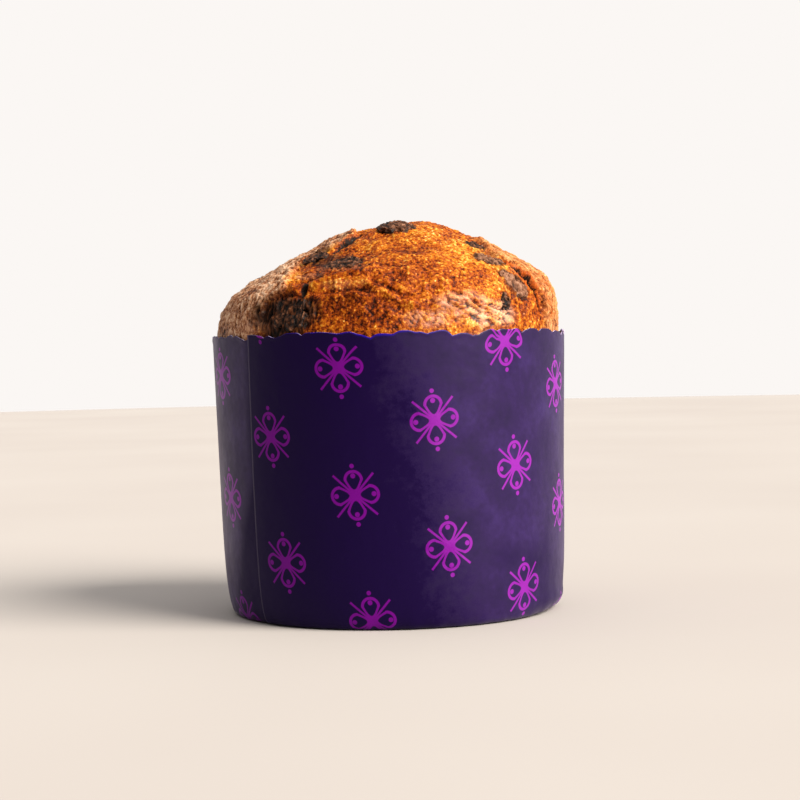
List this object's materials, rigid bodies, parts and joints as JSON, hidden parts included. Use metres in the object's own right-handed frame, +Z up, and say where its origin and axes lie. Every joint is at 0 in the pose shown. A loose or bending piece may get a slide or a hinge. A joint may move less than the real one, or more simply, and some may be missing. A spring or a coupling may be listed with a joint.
{
  "type": "fruit cake in a paper mould",
  "caption": "Tall domed sweet cake with dark chocolate chunks in its torn golden crust, standing in the printed violet paper mould it was baked in.",
  "frame": {"origin": "centre of the bounding box, on the surface that the mould stands on", "axes": "+Z up, -Y towards the viewer of the front, +X to the right"},
  "size_m": [0.1416, 0.1416, 0.1563],
  "materials": {
    "crust": "matte",
    "printed_paper": "satin",
    "base_paper": "matte",
    "chocolate": "satin"
  },
  "bodies": {
    "root": {"cake": "crust", "paper_wall": "printed_paper", "paper_base": "base_paper", "chocolate_chunk_1": "chocolate", "chocolate_chunk_2": "chocolate", "chocolate_chunk_3": "chocolate", "chocolate_chunk_4": "chocolate", "chocolate_chunk_5": "chocolate", "chocolate_chunk_6": "chocolate", "chocolate_chunk_7": "chocolate", "chocolate_chunk_8": "chocolate", "chocolate_chunk_9": "chocolate", "chocolate_chunk_10": "chocolate", "chocolate_chunk_11": "chocolate", "chocolate_chunk_12": "chocolate", "chocolate_chunk_13": "chocolate"}
  },
  "joints": []
}
